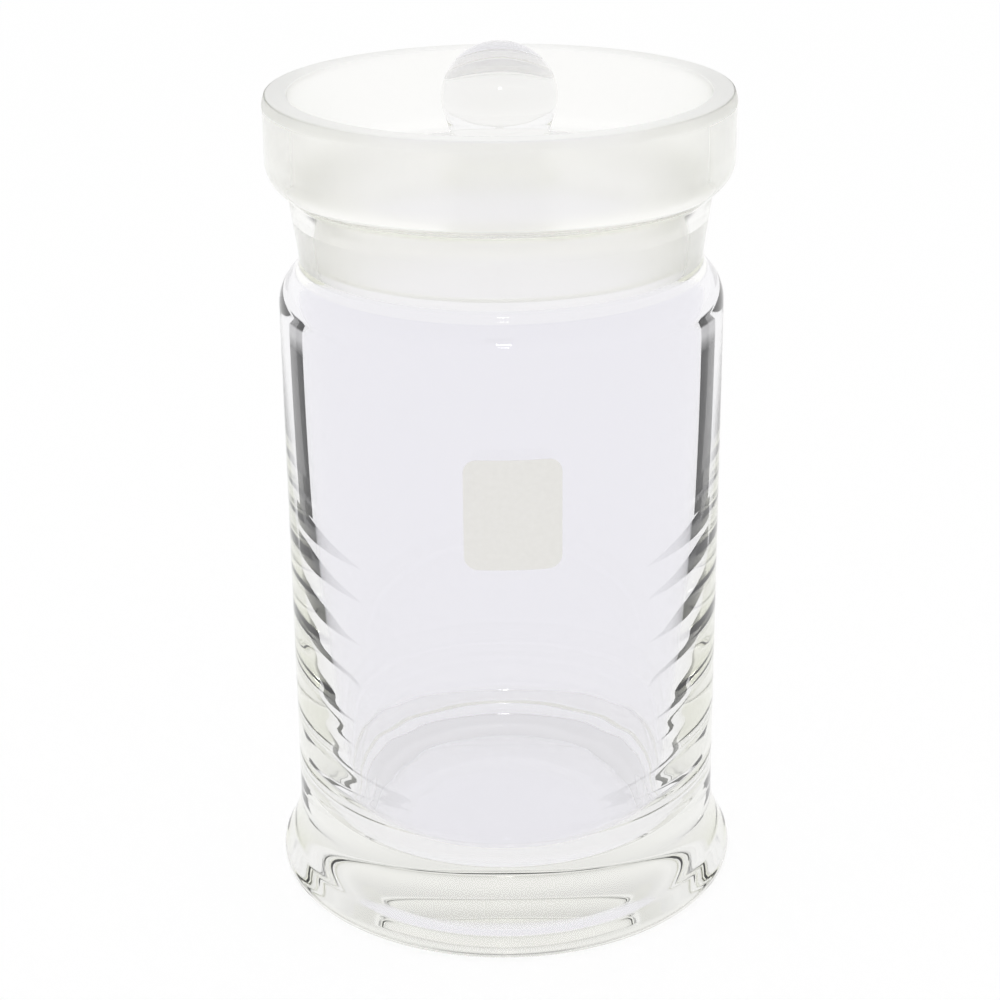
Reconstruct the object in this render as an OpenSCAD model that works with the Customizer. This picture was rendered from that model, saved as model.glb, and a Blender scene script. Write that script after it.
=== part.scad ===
// Specimen jar: a heavy glass cylinder on a low foot, with a ground conical neck, a
// bell-shaped collar above it, and a ground glass stopper whose ball knob stands inside
// the collar. Millimetres, +Z up, origin at the middle of the resting face.
// The jar is one piece of glass, drawn here as its fused sections, one above the other.

/* [Jar] */
// Outer diameter of the straight body
body_d = 100; // [80:1:140]
// Height of the ground rim above the resting face
jar_h = 188; // [160:1:260]
// Wall thickness at the top of the body
wall = 4.8; // [4:0.1:6]
// Wall thickness low down, where the bore runs into the floor
wall_low = 9.7; // [8:0.1:12]
// Height of the inside floor at its middle
floor_h = 14; // [12:0.5:18]

/* [Foot] */
// How far the foot stands out past the body
foot_out = 4.55; // [3:0.05:7]
// Radius of the foot's round edge
foot_edge_r = 3; // [2:0.1:4]
// Height at which the foot's sweep meets the body
foot_h = 20; // [16:1:26]
// Depth of the hollow under the foot
punt = 3.2; // [1:0.1:5]

/* [Neck and collar] */
// Outer diameter of the collar
collar_d = 103.8; // [101:0.1:108]
// Thickness of the collar at the rim
rim_w = 5.4; // [4:0.1:7]
// Height of the collar, rim to underside
collar_h = 21.4; // [18:0.1:26]
// Radius of the collar's rounded underside
collar_round = 7; // [5:0.5:8]
// Height of the neck between shoulder and collar
neck_h = 16; // [14:0.5:20]
// Outer diameter of the neck where it leaves the shoulder
neck_low_d = 90; // [86:0.5:92]
// Widening of the neck's outside for each millimetre of height
neck_taper = 0.28; // [0.2:0.01:0.32]
// Bore of the ground socket at its lower end
socket_low_d = 82; // [79:0.1:83]
// Widening of the socket's bore for each millimetre of height
socket_taper = 0.2; // [0.1:0.01:0.24]

/* [Stopper] */
// Clearance between the ground cone and its socket, on the radius
fit_gap = 0.1; // [0.05:0.01:0.2]
// Height of the stopper's top face above its lower edge
plug_h = 17.3; // [15:0.1:20]
// Wall thickness of the hollow plug
plug_wall = 4.6; // [3:0.1:6]
// Width of the ball knob
knob_d = 25.6; // [20:0.1:32]
// Height of the ball knob
knob_h = 24.4; // [20:0.1:32]
// Diameter of the knob's stem at its narrowest
stem_d = 21; // [16:0.5:24]

/* [Marking field] */
// Width of the plain enamel field on the front of the body
field_w = 21; // [12:1:30]
// Height of the field
field_h = 25; // [12:1:36]
// Thickness of the fired enamel
enamel = 0.12; // [0.1:0.01:0.3]

/* [Hidden] */
$fn = 180;
glass_clear = [0.90, 0.92, 0.93, 0.45];
glass_ground = [0.91, 0.91, 0.88, 0.9];
enamel_tint = [0.90, 0.89, 0.84];

body_r = body_d / 2;
collar_r = collar_d / 2;
rim_in_r = collar_r - rim_w;
socket_low_r = socket_low_d / 2;

// Levels, from the rim down
collar_low = jar_h - collar_h;
neck_low = collar_low - neck_h;
shoulder_r = 10;
shoulder_low = neck_low - shoulder_r;
seat_low = neck_low - 0.5;
seat_top = seat_low + 10.5;
step_h = collar_low + 2.4;

// The foot's sweep is an arc that is tangent to the body, and the round edge is tangent to it
edge_out = foot_out - foot_edge_r;
sweep_dz = foot_h - foot_edge_r;
sweep_r = (pow(edge_out, 2) + pow(sweep_dz, 2) - pow(foot_edge_r, 2)) / (2 * foot_out);
sweep_a = asin(sweep_dz / (sweep_r + foot_edge_r));
rest_in_r = 43;
punt_ball_r = (rest_in_r * rest_in_r + punt * punt) / (2 * punt);
punt_half_a = asin(rest_in_r / punt_ball_r);

// Small roundings and bevels
rim_bevel_w = 0.5;
rim_bevel_h = 2;
rim_in_bevel = 0.35;
step_corner = 1;
step_round = 1.2;
collar_draft = 0.4;

// The bore: the wall thickens towards the floor, and an elliptical corner joins the two
floor_flat_r = 26;
bore_low = floor_h + 15.5;
bore_top = shoulder_low - 1;
bore_power = 2.6;
lip_r = 5;

// Stopper
plug_low = seat_low + 2;
plug_top = plug_low + plug_h;
plug_round = 1.5;
knob_mid = jar_h - 2;
stem_foot = 4;

// A round arc, as points, from angle a0 to a1
function arc(r, z, rad, a0, a1, n = 8) =
    [for (i = [0 : n]) let (a = a0 + (a1 - a0) * i / n) [r + rad * cos(a), z + rad * sin(a)]];
// Radius of the neck's outer cone at a height
function neck_r(z) = neck_low_d / 2 + (z - neck_low) * neck_taper / 2;
// Bore of the socket at a height
function socket_r(z) = socket_low_r + (z - seat_low) * socket_taper / 2;
// Bore of the body at a height
function bore_r(z) =
    body_r - wall - (wall_low - wall) * pow((bore_top - z) / (bore_top - bore_low), bore_power);

// Underside, foot, body, shoulder, neck and collar, from the axis out and up to the rim
outside = concat(
    arc(0, punt - punt_ball_r, punt_ball_r, 90, 90 - punt_half_a, 10),
    arc(body_r + edge_out, foot_edge_r, foot_edge_r, -90, sweep_a, 8),
    arc(body_r + sweep_r, foot_h, sweep_r, 180 + sweep_a, 180, 10),
    arc(body_r - shoulder_r, shoulder_low, shoulder_r, 0, 55, 8),
    [[neck_r(neck_low) + 0.5, neck_low - 0.9], [neck_r(neck_low) + 0.1, neck_low]],
    [[neck_r(neck_low + 1), neck_low + 1], [neck_r(collar_low), collar_low - 0.4]],
    [[neck_r(collar_low) + 0.5, collar_low + 0.3]],
    arc(collar_r - collar_round, collar_low + collar_round, collar_round, -62, 0, 8),
    [[collar_r, jar_h - rim_bevel_h], [collar_r - rim_bevel_w, jar_h]]);

// Rim, collar, step, socket, shoulder, bore and floor, from the rim down and in to the axis
inside = concat(
    [[rim_in_r + rim_in_bevel, jar_h], [rim_in_r, jar_h - rim_in_bevel]],
    arc(rim_in_r - collar_draft - step_corner, step_h + step_corner, step_corner, 0, -90, 4),
    arc(socket_r(step_h) + step_round, step_h - step_round, step_round, 90, 165, 4),
    [[socket_r(seat_top), seat_top], [socket_r(seat_low), seat_low]],
    arc(socket_low_r + lip_r, seat_low - 0.6, lip_r, 180, 228, 5),
    arc(body_r - shoulder_r, shoulder_low, shoulder_r - wall, 45, 0, 5),
    [for (i = [0 : 12]) let (z = bore_top + (bore_low - bore_top) * i / 12) [bore_r(z), z]],
    [for (i = [1 : 12]) let (a = 90 * i / 12) [
        floor_flat_r + (bore_r(bore_low) - floor_flat_r) * cos(a),
        bore_low - (bore_low - floor_h) * sin(a)]],
    [[0, floor_h]]);

// One fused section of the jar, between two heights
module section(low, high) {
    rotate_extrude()
        intersection() {
            polygon(concat(outside, inside));
            translate([0, low]) square([2 * body_r, high - low]);
        }
}

// Heavy pressed foot with the floor of the jar and its rounded inner corner
module foot() {
    color(glass_clear) section(0, foot_h);
}

// Straight body; its wall is thickest low down
module body() {
    color(glass_clear) section(foot_h, shoulder_low);
}

// Round shoulder, which turns the wall in to the neck
module shoulder() {
    color(glass_clear) section(shoulder_low, neck_low);
}

// Conical neck, ground inside as the stopper's socket
module neck() {
    color(glass_ground) section(neck_low, collar_low);
}

// Bell-shaped collar, ground inside and on its flat rim
module collar() {
    color(glass_ground) section(collar_low, jar_h);
}

// Plain enamel field, fired on the front of the body
module marking_field() {
    field_mid = 107.5;
    corner = 3;
    color(enamel_tint)
        intersection() {
            rotate_extrude()
                translate([body_r, field_mid - field_h]) square([enamel, 2 * field_h]);
            translate([2, 0, field_mid])
                rotate([90, 0, 0])
                linear_extrude(body_r + 5)
                union() {
                    square([field_w - 2 * corner, field_h], center = true);
                    square([field_w, field_h - 2 * corner], center = true);
                    for (x = [-1, 1], z = [-1, 1])
                        translate([x * (field_w / 2 - corner), z * (field_h / 2 - corner)])
                        circle(corner);
                }
        }
}

// Ground conical plug, hollow underneath
module stopper_plug() {
    low_r = socket_r(plug_low) - fit_gap;
    shelf = plug_top - plug_round;
    shelf_r = socket_r(shelf) - fit_gap;
    roof = plug_top - plug_wall;
    hollow_r = low_r - plug_wall;
    corner = 4;
    bevel = 0.4;
    color(glass_ground)
        rotate_extrude()
        polygon(concat(
            [[0, roof]],
            arc(hollow_r - corner, roof - corner, corner, 90, 0, 6),
            [[hollow_r, plug_low + bevel], [hollow_r + bevel, plug_low]],
            [[low_r - bevel, plug_low], [low_r, plug_low + bevel]],
            arc(shelf_r - plug_round, shelf, plug_round, 0, 90, 5),
            [[0, plug_top]]));
}

// Solid ball knob on a short stem, fused to the middle of the plug
module stopper_knob() {
    ball_r = knob_d / 2;
    stem_r = stem_d / 2;
    ball_low = -38;
    color(glass_clear)
        rotate_extrude()
        polygon(concat(
            [[0, plug_top]],
            arc(stem_r + stem_foot, plug_top + stem_foot, stem_foot, 270, 180, 6),
            [for (i = [0 : 16]) let (a = ball_low + (90 - ball_low) * i / 16)
                [ball_r * cos(a), knob_mid + knob_h / 2 * sin(a)]]));
}

foot();
body();
shoulder();
neck();
collar();
marking_field();
stopper_plug();
stopper_knob();
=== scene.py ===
"""Looks of the specimen jar: two seamless lathe-turned pieces of glass and a fired enamel field."""

import math

import bpy
from mathutils import Matrix, Vector


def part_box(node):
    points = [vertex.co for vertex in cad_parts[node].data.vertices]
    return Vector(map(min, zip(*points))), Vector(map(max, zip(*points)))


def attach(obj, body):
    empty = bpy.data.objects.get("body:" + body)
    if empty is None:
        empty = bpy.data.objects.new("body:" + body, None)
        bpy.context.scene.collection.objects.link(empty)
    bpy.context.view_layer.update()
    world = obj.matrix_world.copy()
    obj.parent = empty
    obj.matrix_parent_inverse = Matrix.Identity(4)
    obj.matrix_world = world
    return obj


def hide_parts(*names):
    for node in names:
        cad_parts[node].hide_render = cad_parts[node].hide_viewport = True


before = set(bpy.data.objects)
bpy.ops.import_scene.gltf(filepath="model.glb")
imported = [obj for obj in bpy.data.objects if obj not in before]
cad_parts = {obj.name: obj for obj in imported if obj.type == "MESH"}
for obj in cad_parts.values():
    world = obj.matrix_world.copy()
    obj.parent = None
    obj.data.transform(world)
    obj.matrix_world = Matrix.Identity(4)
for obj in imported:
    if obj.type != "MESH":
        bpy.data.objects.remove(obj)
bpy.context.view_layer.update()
MM = 0.001


# ---------------------------------------------------------------- sizes, from the CAD boxes, in mm
def top(node):
    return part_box(node)[1].z / MM


def low(node):
    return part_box(node)[0].z / MM


def radius(node):
    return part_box(node)[1].x / MM


BODY_R = radius("body")
FOOT_R = radius("foot")
COLLAR_R = radius("collar")
FOOT_H = top("foot")
SHOULDER_LOW = low("shoulder")
NECK_LOW = low("neck")
COLLAR_LOW = low("collar")
RIM_H = top("collar")
PLUG_LOW = low("stopper_plug")
PLUG_TOP = top("stopper_plug")
KNOB_TOP = top("stopper_knob")

# The same design values as part.scad, with diameters as radii and tapers taken on the radius
WALL = 4.8
WALL_LOW = 9.7
FLOOR_H = 14.0
FLOOR_FLAT_R = 26.0
BORE_CORNER_H = 15.5
BORE_LOW = FLOOR_H + BORE_CORNER_H
BORE_TOP = SHOULDER_LOW - 1
BORE_POWER = 2.6
PUNT = 3.2
REST_IN_R = 43.0
FOOT_EDGE_R = 3.0
SHOULDER_R = 10.0
NECK_LOW_R = 45.0
NECK_TAPER = 0.14
COLLAR_ROUND = 7.0
RIM_W = 5.4
RIM_BEVEL_W = 0.5
RIM_BEVEL_H = 2.0
RIM_IN_BEVEL = 0.35
COLLAR_DRAFT = 0.4
STEP_CORNER = 1.0
STEP_ROUND = 1.2
LIP_R = 5.0
SEAT_LOW = NECK_LOW - 0.5
SEAT_TOP = SEAT_LOW + 10.5
STEP_H = COLLAR_LOW + 2.4
SOCKET_LOW_R = 41.0
SOCKET_TAPER = 0.1
FIT_GAP = 0.1
PLUG_WALL = 4.6
PLUG_ROUND = 1.5
HOLLOW_CORNER = 4.0
KNOB_R = 12.8
KNOB_H = 24.4
STEM_R = 10.5
STEM_FOOT = 4.0

# Only in the looks: how far the neck's soft corners reach along it, and how far the roof of the
# plug's hollow rises where the CAD has it flat
NECK_BLEND = 1.4
COLLAR_BLEND = 0.8
ROOF_DOME = 1.2

# How frosted a surface is: polished, polished in a paler tint that is painted light (outside of neck and
# collar), ground as a joint, or ground flat as the rim; the ground finishes take the same painted-light
# tint
CLEAR, PALE_PAINTED_LIGHT, GROUND, RIM = 0.0, 0.05, 0.6, 1.0


# ---------------------------------------------------------------- outline helpers, all in mm
def arc(r, z, rad, a0, a1, n=12):
    """Points on a round arc from angle a0 to a1, in degrees."""
    turns = [math.radians(a0 + (a1 - a0) * i / n) for i in range(n + 1)]
    return [(r + rad * math.cos(a), z + rad * math.sin(a)) for a in turns]


def blend_corner(before, corner, after, n=6):
    """A soft corner: a quadratic curve from one point to another, pulled towards the corner."""
    points = []
    for i in range(n + 1):
        t = i / n
        points.append(tuple((1 - t) ** 2 * b + 2 * t * (1 - t) * c + t * t * a
                            for b, c, a in zip(before, corner, after)))
    return points


def line(start, end, n):
    """n equal steps from start to end, with both ends."""
    return [tuple(s + (e - s) * i / n for s, e in zip(start, end)) for i in range(n + 1)]


def neck_r(z):
    return NECK_LOW_R + (z - NECK_LOW) * NECK_TAPER


def socket_r(z):
    return SOCKET_LOW_R + (z - SEAT_LOW) * SOCKET_TAPER


def bore_r(z):
    share = (BORE_TOP - z) / (BORE_TOP - BORE_LOW)
    return BODY_R - WALL - (WALL_LOW - WALL) * max(share, 0) ** BORE_POWER


def ripple(z):
    """Faint rings that drawing leaves in the bore, stronger where the wall is thick."""
    fade_top, fade_height = 86, 50
    depth = min(max((fade_top - z) / fade_height, 0), 1)
    return depth * (0.010 * math.sin(z * 0.92) + 0.008 * math.sin(z * 0.51 + 1.3))


def jar_outline():
    """(points, finish) stretches from the axis under the foot, up the outside and down the bore."""
    ball = (REST_IN_R ** 2 + PUNT ** 2) / (2 * PUNT)
    half = math.degrees(math.asin(REST_IN_R / ball))
    edge_out = FOOT_R - BODY_R - FOOT_EDGE_R
    rise = FOOT_H - FOOT_EDGE_R
    sweep = (edge_out ** 2 + rise ** 2 - FOOT_EDGE_R ** 2) / (2 * (FOOT_R - BODY_R))
    lean = math.degrees(math.asin(rise / (sweep + FOOT_EDGE_R)))
    rim_in = COLLAR_R - RIM_W
    neck_start = (neck_r(NECK_LOW + NECK_BLEND), NECK_LOW + NECK_BLEND)
    neck_end = (neck_r(COLLAR_LOW - COLLAR_BLEND), COLLAR_LOW - COLLAR_BLEND)
    under = arc(0, PUNT - ball, ball, 90, 90 - half * 0.97, 24)
    outside = (
        blend_corner(under[-1], (REST_IN_R, 0), (REST_IN_R + 1.2, 0), 4)
        + arc(BODY_R + edge_out, FOOT_EDGE_R, FOOT_EDGE_R, -90, lean, 14)
        + arc(BODY_R + sweep, FOOT_H, sweep, 180 + lean, 180, 18)[1:]
        + line((BODY_R, FOOT_H), (BODY_R, SHOULDER_LOW), 60)[1:]
        + arc(BODY_R - SHOULDER_R, SHOULDER_LOW, SHOULDER_R, 0, 52, 14)[1:]
    )
    upper = (
        blend_corner((neck_r(NECK_LOW) + 0.95, NECK_LOW - 1.5), (neck_r(NECK_LOW), NECK_LOW - 0.3),
                     neck_start)
        + line(neck_start, neck_end, 8)[1:]
        + blend_corner(neck_end, (neck_r(COLLAR_LOW), COLLAR_LOW + 0.2),
                       (neck_r(COLLAR_LOW) + 0.95, COLLAR_LOW + 0.82))[1:]
        + arc(COLLAR_R - COLLAR_ROUND, COLLAR_LOW + COLLAR_ROUND, COLLAR_ROUND, -58, 0, 18)[1:]
        + [(COLLAR_R, RIM_H - RIM_BEVEL_H - 0.5)]
    )
    bevel = (
        blend_corner((COLLAR_R, RIM_H - RIM_BEVEL_H - 0.5), (COLLAR_R, RIM_H - RIM_BEVEL_H),
                     (COLLAR_R - 0.12, RIM_H - RIM_BEVEL_H + 0.5), 4)
        + blend_corner((COLLAR_R - RIM_BEVEL_W + 0.08, RIM_H - 0.35), (COLLAR_R - RIM_BEVEL_W, RIM_H),
                       (COLLAR_R - RIM_BEVEL_W - 0.35, RIM_H), 4)
    )
    rim = blend_corner((rim_in + RIM_IN_BEVEL, RIM_H), (rim_in, RIM_H), (rim_in, RIM_H - RIM_IN_BEVEL), 4)
    cup = (
        line((rim_in, RIM_H - RIM_IN_BEVEL), (rim_in - COLLAR_DRAFT, STEP_H + STEP_CORNER), 8)
        + arc(rim_in - COLLAR_DRAFT - STEP_CORNER, STEP_H + STEP_CORNER, STEP_CORNER, 0, -90, 6)[1:]
        + [(socket_r(STEP_H) + STEP_ROUND, STEP_H)]
    )
    flare = (
        arc(socket_r(STEP_H) + STEP_ROUND, STEP_H - STEP_ROUND, STEP_ROUND, 90, 165, 8)
        + [(socket_r(SEAT_TOP), SEAT_TOP)]
    )
    socket = line((socket_r(SEAT_TOP), SEAT_TOP), (socket_r(SEAT_LOW), SEAT_LOW), 6)
    shoulder_in = SHOULDER_R - WALL
    bore = (
        arc(SOCKET_LOW_R + LIP_R, SEAT_LOW - 0.6, LIP_R, 180, 226, 10)
        + arc(BODY_R - SHOULDER_R, SHOULDER_LOW, shoulder_in, 46, 0, 10)
    )
    wall_steps, corner_steps = 120, 28
    for i in range(wall_steps + 1):
        z = BORE_TOP + (BORE_LOW - BORE_TOP) * i / wall_steps
        bore.append((bore_r(z) + ripple(z), z))
    across, down = bore_r(BORE_LOW) - FLOOR_FLAT_R, BORE_LOW - FLOOR_H
    for i in range(1, corner_steps + 1):
        a = math.radians(90 * i / corner_steps)
        r, z = FLOOR_FLAT_R + across * math.cos(a), BORE_LOW - down * math.sin(a)
        bore.append((r + ripple(z) * math.cos(a), z))
    floor = line((FLOOR_FLAT_R, FLOOR_H), (0, FLOOR_H), 10)[1:]
    return [
        (under[:-1] + outside, CLEAR), (upper, PALE_PAINTED_LIGHT), (bevel, GROUND), (rim, RIM),
        (cup, GROUND), (flare, PALE_PAINTED_LIGHT), (socket, GROUND), (bore + floor, CLEAR),
    ]


def stopper_outline():
    """(points, finish) stretches from the axis under the roof, round the cone and up over the knob."""
    low_r = socket_r(PLUG_LOW) - FIT_GAP
    shelf = PLUG_TOP - PLUG_ROUND
    shelf_r = socket_r(shelf) - FIT_GAP
    roof = PLUG_TOP - PLUG_WALL
    hollow = low_r - PLUG_WALL
    flat = hollow - HOLLOW_CORNER
    dome = (flat ** 2 + ROOF_DOME ** 2) / (2 * ROOF_DOME)
    lean = math.degrees(math.asin(flat / dome))
    under = (
        arc(0, roof + ROOF_DOME - dome, dome, 90, 90 - lean, 12)
        + arc(flat, roof - HOLLOW_CORNER, HOLLOW_CORNER, 90, 0, 10)[1:]
        + line((hollow, roof - HOLLOW_CORNER), (hollow, PLUG_LOW + 0.6), 4)[1:]
        + blend_corner((hollow, PLUG_LOW + 0.6), (hollow, PLUG_LOW), (hollow + 0.8, PLUG_LOW), 5)[1:]
        + blend_corner((low_r - 0.5, PLUG_LOW), (low_r, PLUG_LOW), (low_r, PLUG_LOW + 0.4), 5)
    )
    cone = line((low_r, PLUG_LOW + 0.4), (shelf_r, shelf), 10)
    knob_mid = KNOB_TOP - KNOB_H / 2
    top_face = (
        arc(shelf_r - PLUG_ROUND, shelf, PLUG_ROUND, 0, 90, 8)
        + line((shelf_r - PLUG_ROUND, PLUG_TOP), (STEM_R + STEM_FOOT, PLUG_TOP), 8)[1:]
        + arc(STEM_R + STEM_FOOT, PLUG_TOP + STEM_FOOT, STEM_FOOT, 270, 180, 12)[1:]
    )
    pull_at, join_at, ball_steps = math.radians(-36), -18, 44
    angles = [math.radians(join_at + (90 - join_at) * i / ball_steps) for i in range(ball_steps + 1)]
    ball = [(KNOB_R * math.cos(a), knob_mid + KNOB_H / 2 * math.sin(a)) for a in angles]
    waist = (STEM_R, PLUG_TOP + STEM_FOOT)
    pull = (KNOB_R * math.cos(pull_at) + 0.2, knob_mid + KNOB_H / 2 * math.sin(pull_at))
    knob = blend_corner(waist, pull, ball[0], 12)[1:] + ball[1:]
    return [(under, CLEAR), (cone, GROUND), (top_face + knob, CLEAR)]


# ---------------------------------------------------------------- mesh
# Points nearer to each other than this are one point, in mm
SAME_POINT = 0.004


def lathe(name, outline, material, turns):
    """Turns outline stretches about +Z into one closed, smooth mesh; "frost" holds each face's finish."""
    points, finishes = [], []
    for stretch, finish in outline:
        for r, z in stretch:
            if points and math.dist(points[-1], (r, z)) < SAME_POINT:
                continue
            points.append((max(r, 0.0), z))
            finishes.append(finish)
    verts, rings = [], []
    for r, z in points:
        spokes = turns if r > 1e-6 else 1
        rings.append([len(verts) + k for k in range(spokes)])
        for k in range(spokes):
            a = 2 * math.pi * k / turns
            verts.append((r * MM * math.cos(a), r * MM * math.sin(a), z * MM))
    faces, frost = [], []
    for one, two, finish in zip(rings, rings[1:], finishes[1:]):
        for k in range(turns):
            j = (k + 1) % turns
            if len(one) == 1:
                faces.append((one[0], two[j], two[k]))
            elif len(two) == 1:
                faces.append((one[k], one[j], two[0]))
            else:
                faces.append((one[k], one[j], two[j], two[k]))
            frost.append(finish)
    mesh = bpy.data.meshes.new(name)
    mesh.from_pydata(verts, [], faces)
    mesh.materials.append(material)
    mesh.polygons.foreach_set("use_smooth", [True] * len(faces))
    mesh.attributes.new("frost", "FLOAT", "FACE").data.foreach_set("value", frost)
    mesh.update()
    piece = bpy.data.objects.new(name, mesh)
    bpy.context.scene.collection.objects.link(piece)
    return piece


# ---------------------------------------------------------------- materials
GLASS_IOR = 1.473
GRIT_SCALE = 2600
FULL_ROUGHNESS = 0.5
GRIT_SWING = 0.04
GROUND_BUMP = 0.01
BUMP_DISTANCE = 0.00005
RIM_TRANSMISSION = 0.25


def new_material(name):
    """A material with a Principled shader; gives it, its nodes, its links and the shader."""
    material = bpy.data.materials.new(name)
    material.use_nodes = True
    nodes, links = material.node_tree.nodes, material.node_tree.links
    nodes.clear()
    out = nodes.new("ShaderNodeOutputMaterial")
    shader = nodes.new("ShaderNodeBsdfPrincipled")
    shader.distribution = "MULTI_GGX"
    links.new(shader.outputs[0], out.inputs["Surface"])
    return material, nodes, links, shader


def remap(nodes, links, source, from_low, from_high, to_low, to_high):
    """A clamped Map Range node from one socket; gives its result."""
    span = nodes.new("ShaderNodeMapRange")
    for socket, value in zip(span.inputs[1:5], (from_low, from_high, to_low, to_high)):
        socket.default_value = value
    links.new(source, span.inputs["Value"])
    return span.outputs["Result"]


def glass(name, polished, ground, edge, depth):
    """Glass that is polished or ground as each face's frost says, frosted faces in a paler tint that is
    painted light; edge and depth tint long paths inside.
    """
    material, nodes, links, shader = new_material(name)
    shader.inputs["IOR"].default_value = GLASS_IOR
    frost = nodes.new("ShaderNodeAttribute")
    frost.attribute_name = "frost"
    frost = frost.outputs["Fac"]
    coord = nodes.new("ShaderNodeTexCoord")
    grit = nodes.new("ShaderNodeTexNoise")
    grit.inputs["Scale"].default_value = GRIT_SCALE
    grit.inputs["Detail"].default_value = 3
    links.new(coord.outputs["Object"], grit.inputs["Vector"])

    # Painted light: from the pale finish up, faces take the paler tint, which brightens them
    tint = nodes.new("ShaderNodeMix")
    tint.data_type = "RGBA"
    tint.inputs[6].default_value = (*polished, 1)
    tint.inputs[7].default_value = (*ground, 1)
    links.new(remap(nodes, links, frost, 0, PALE_PAINTED_LIGHT, 0, 1), tint.inputs[0])
    links.new(tint.outputs[2], shader.inputs["Base Color"])

    uneven = nodes.new("ShaderNodeMath")
    uneven.operation = "MULTIPLY"
    swing = remap(nodes, links, grit.outputs["Fac"], 0.3, 0.7, 1 - GRIT_SWING, 1 + GRIT_SWING)
    links.new(remap(nodes, links, frost, 0, 1, 0, FULL_ROUGHNESS), uneven.inputs[0])
    links.new(swing, uneven.inputs[1])
    links.new(uneven.outputs[0], shader.inputs["Roughness"])
    see_through = remap(nodes, links, frost, GROUND, RIM, 1, RIM_TRANSMISSION)
    links.new(see_through, shader.inputs["Transmission Weight"])

    bump = nodes.new("ShaderNodeBump")
    bump.inputs["Distance"].default_value = BUMP_DISTANCE
    links.new(remap(nodes, links, frost, 0, GROUND, 0, GROUND_BUMP), bump.inputs["Strength"])
    links.new(grit.outputs["Fac"], bump.inputs["Height"])
    links.new(bump.outputs["Normal"], shader.inputs["Normal"])

    inside = nodes.new("ShaderNodeVolumeAbsorption")
    inside.inputs["Color"].default_value = (*edge, 1)
    inside.inputs["Density"].default_value = depth
    links.new(inside.outputs[0], nodes["Material Output"].inputs["Volume"])
    return material


def enamel(name):
    """Pale fired enamel with a faint mottle."""
    material, nodes, links, shader = new_material(name)
    coord = nodes.new("ShaderNodeTexCoord")
    mottle = nodes.new("ShaderNodeTexNoise")
    mottle.inputs["Scale"].default_value = 900
    mottle.inputs["Detail"].default_value = 4
    links.new(coord.outputs["Object"], mottle.inputs["Vector"])
    ramp = nodes.new("ShaderNodeValToRGB")
    ramp.color_ramp.elements[0].color = (0.74, 0.73, 0.70, 1)
    ramp.color_ramp.elements[1].color = (0.80, 0.79, 0.765, 1)
    links.new(mottle.outputs["Fac"], ramp.inputs["Fac"])
    links.new(ramp.outputs["Color"], shader.inputs["Base Color"])
    shader.inputs["Roughness"].default_value = 0.42
    return material


# ---------------------------------------------------------------- the object
POLISHED_TINT = (0.920, 0.915, 0.945)
# The paler tint of frosted faces and of the neck's and collar's outsides is painted light
GROUND_TINT_PAINTED_LIGHT = (0.985, 0.983, 0.973)
STOPPER_TINT = (0.945, 0.942, 0.955)
EDGE_TINT = (0.68, 0.70, 0.46)
EDGE_DEPTH = 3.0

jar_glass = glass("jar_glass", POLISHED_TINT, GROUND_TINT_PAINTED_LIGHT, EDGE_TINT, EDGE_DEPTH)
jar = lathe("jar_glass", jar_outline(), jar_glass, turns=248)
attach(jar, "jar")
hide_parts("foot", "body", "shoulder", "neck", "collar")

stopper_glass = glass("stopper_glass", STOPPER_TINT, GROUND_TINT_PAINTED_LIGHT, EDGE_TINT, EDGE_DEPTH)
stopper = lathe("stopper_glass", stopper_outline(), stopper_glass, turns=256)
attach(stopper, "stopper")
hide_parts("stopper_plug", "stopper_knob")

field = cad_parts["marking_field"]
field.data.materials.clear()
field.data.materials.append(enamel("fired_enamel"))


# ---------------------------------------------------------------- stage: floor, flags, lights, camera
# The flags, in metres and degrees: two upright cards, and strips on the floor and rings round the foot that
# are painted shadow, the jar's own shade on the floor as its mirrored walls show it
FLAG_DISTANCE, FLAG_HEIGHT, FLAG_FADE = 0.22, 0.078, 0.068
FLAG_HEADINGS = ((-58, -40), (38, 58))
# Painted shadow: dark strips and rings on the floor where the jar's own shade falls, seen only in its
# mirrored walls
FLOOR_PAINTED_SHADOWS = (
    (0.059, 0.062), (0.068, 0.072), (0.079, 0.083), (0.089, 0.100),
    (0.110, 0.124), (0.136, 0.154), (0.168, 0.190), (0.197, 0.220),
)
FLOOR_START, FLOOR_FULL, FLOOR_END = 34, 50, 100
FOOT_PAINTED_SHADOWS = ((0.0565, 0.0580), (0.0610, 0.0625), (0.0665, 0.0680))
FLAT_HEIGHT = 0.0005
SECTOR_STEP = 3


def stage_floor():
    """A wide floor that shines a little, so that it stays as pale as the room."""
    bpy.ops.mesh.primitive_plane_add(size=9, location=(0, 0, -0.0002))
    floor = bpy.context.object
    floor.name = "stage_floor"
    material, nodes, links, shader = new_material("stage_floor")
    shader.inputs["Base Color"].default_value = (0.18, 0.18, 0.18, 1)
    shader.inputs["Roughness"].default_value = 0.9
    shader.inputs["Specular IOR Level"].default_value = 0.0
    shader.inputs["Emission Color"].default_value = (1, 1, 1, 1)
    shader.inputs["Emission Strength"].default_value = 0.83
    floor.data.materials.append(material)


def maths(nodes, links, operation, *values):
    """A Math node; each value is a number or a socket."""
    node = nodes.new("ShaderNodeMath")
    node.operation = operation
    for socket, value in zip(node.inputs, values):
        if isinstance(value, (int, float)):
            socket.default_value = value
        else:
            links.new(value, socket)
    return node.outputs[0]


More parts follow.
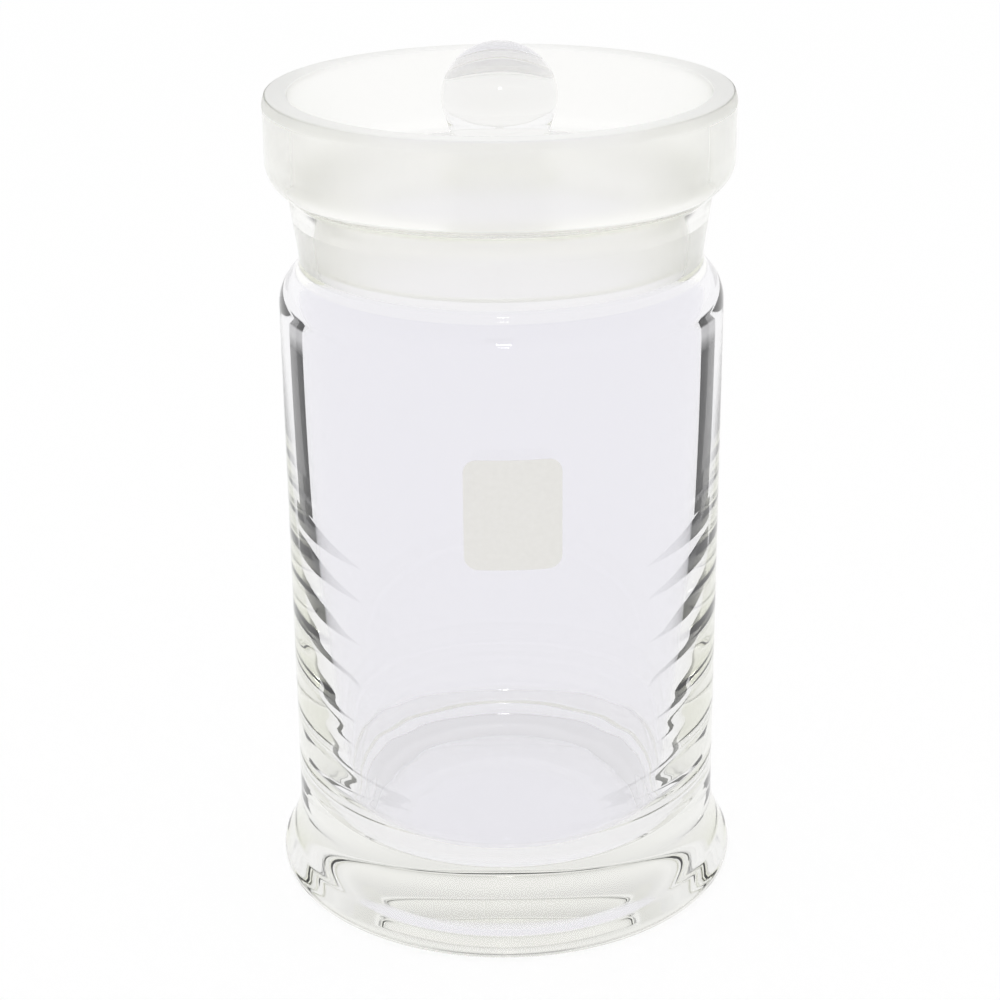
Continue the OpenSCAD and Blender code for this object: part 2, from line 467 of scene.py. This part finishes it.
def flag_material(name):
    """Black to rays that entered the glass, were mirrored in it and left; fades out at its top edge.

    It is clear to all other rays, so it is never seen directly.
    """
    material = bpy.data.materials.new(name)
    material.use_nodes = True
    nodes, links = material.node_tree.nodes, material.node_tree.links
    nodes.clear()
    out = nodes.new("ShaderNodeOutputMaterial")
    path = nodes.new("ShaderNodeLightPath")
    shown = maths(nodes, links, "MULTIPLY",
                  maths(nodes, links, "GREATER_THAN", path.outputs["Glossy Depth"], 0.5),
                  maths(nodes, links, "COMPARE", path.outputs["Transmission Depth"], 2, 0.5))
    place = nodes.new("ShaderNodeTexCoord")
    split = nodes.new("ShaderNodeSeparateXYZ")
    links.new(place.outputs["Object"], split.inputs[0])
    fade = remap(nodes, links, split.outputs["Z"], FLAG_FADE, FLAG_HEIGHT, 1, 0)
    shown = maths(nodes, links, "MULTIPLY", shown, fade)
    mix = nodes.new("ShaderNodeMixShader")
    see = nodes.new("ShaderNodeBsdfTransparent")
    black = nodes.new("ShaderNodeEmission")
    black.inputs["Color"].default_value = (0.012, 0.012, 0.014, 1)
    links.new(shown, mix.inputs[0])
    links.new(see.outputs[0], mix.inputs[1])
    links.new(black.outputs[0], mix.inputs[2])
    links.new(mix.outputs[0], out.inputs["Surface"])
    return material


def stage_sector(name, points, start, end, material, full=None):
    """A stage surface turned about +Z between two headings, in degrees from +Y towards +X.

    points are its two edges as (radius, height). Where full is given, it narrows from there to its end.
    """
    steps = max(round(abs(end - start) / SECTOR_STEP), 1)
    verts, faces = [], []
    for k in range(steps + 1):
        heading = start + (end - start) * k / steps
        a = math.radians(heading)
        share = 1 if full is None else min(1, abs((end - heading) / (end - full)))
        (r0, z0), (r1, z1) = points
        ends = ((r0, z0), (r0 + (r1 - r0) * share, z1))
        verts += [(r * math.sin(a), r * math.cos(a), z) for r, z in ends]
        if k:
            n = 2 * k
            faces.append((n - 2, n, n + 1, n - 1))
    mesh = bpy.data.meshes.new(name)
    mesh.from_pydata(verts, [], faces)
    mesh.materials.append(material)
    sector = bpy.data.objects.new(name, mesh)
    bpy.context.scene.collection.objects.link(sector)
    sector.visible_camera = False
    sector.visible_diffuse = False
    sector.visible_shadow = False


def stage_flags():
    """Two black cards behind the jar, and painted shadow: tapering strips on the floor beside it and thin
    rings round its foot.
    """
    black = flag_material("stage_flags")
    for k, (start, end) in enumerate(FLAG_HEADINGS):
        edges = [(FLAG_DISTANCE, 0), (FLAG_DISTANCE, FLAG_HEIGHT)]
        stage_sector(f"stage_flag_{k}", edges, start, end, black)
    # Painted shadow on the floor beside the jar and round its foot
    for k, (inner, outer) in enumerate(FLOOR_PAINTED_SHADOWS):
        edges = [(inner, FLAT_HEIGHT), (outer, FLAT_HEIGHT)]
        for side in (-1, 1):
            stage_sector(f"stage_floor_painted_shadow_{k}", edges, FLOOR_START * side, FLOOR_END * side, black,
                         FLOOR_FULL * side)
    for k, (inner, outer) in enumerate(FOOT_PAINTED_SHADOWS):
        edges = [(inner, FLAT_HEIGHT), (outer, FLAT_HEIGHT)]
        stage_sector(f"stage_foot_painted_shadow_{k}", edges, -180, 180, black)


def studio_world():
    """An even pale room, a little darker overhead."""
    world = bpy.data.worlds.new("studio")
    bpy.context.scene.world = world
    world.use_nodes = True
    nodes, links = world.node_tree.nodes, world.node_tree.links
    back = nodes["Background"]
    back.inputs["Color"].default_value = (1, 1, 1, 1)
    place = nodes.new("ShaderNodeTexCoord")
    split = nodes.new("ShaderNodeSeparateXYZ")
    links.new(place.outputs["Generated"], split.inputs[0])
    at_side, overhead = 1.03, 0.86
    strength = remap(nodes, links, split.outputs["Z"], 0.25, 0.9, at_side, overhead)
    links.new(strength, back.inputs["Strength"])


def softbox(name, place, target, size_x, size_y, watts):
    """A rectangular area light that faces the target."""
    data = bpy.data.lights.new(name, "AREA")
    data.shape = "RECTANGLE"
    data.size, data.size_y = size_x, size_y
    data.energy = watts
    lamp = bpy.data.objects.new(name, data)
    lamp.location = place
    lamp.rotation_euler = (Vector(target) - Vector(place)).to_track_quat("-Z", "Y").to_euler()
    bpy.context.scene.collection.objects.link(lamp)


def camera():
    """The photograph's view: from the front, about 30 degrees down on the foot, slightly rolled."""
    data = bpy.data.cameras.new("view")
    data.sensor_width = 36
    data.lens = 83.66
    data.clip_start, data.clip_end = 0.01, 50
    cam = bpy.data.objects.new("view", data)
    cam.location = (0, -0.5042, 0.2929)
    pitch, yaw, roll = math.radians(21.81), math.radians(0.088), math.radians(0.577)
    aim = Matrix.Rotation(yaw, 4, "Z") @ Matrix.Rotation(math.radians(90) - pitch, 4, "X")
    cam.rotation_euler = (aim @ Matrix.Rotation(-roll, 4, "Z")).to_euler()
    bpy.context.scene.collection.objects.link(cam)
    bpy.context.scene.camera = cam


stage_floor()
stage_flags()
studio_world()
softbox("key", place=(0.02, -1.2, 0.93), target=(0, 0, 0.15), size_x=0.17, size_y=0.08, watts=0.7)
camera()

# Glass is seen through many surfaces, and the glossy filter would darken what scatters inside it
scene = bpy.context.scene
scene.view_settings.view_transform = "Standard"
scene.cycles.blur_glossy = 0.0
scene.cycles.max_bounces = 40
scene.cycles.transmission_bounces = 40
scene.cycles.glossy_bounces = 20
scene.cycles.transparent_max_bounces = 32
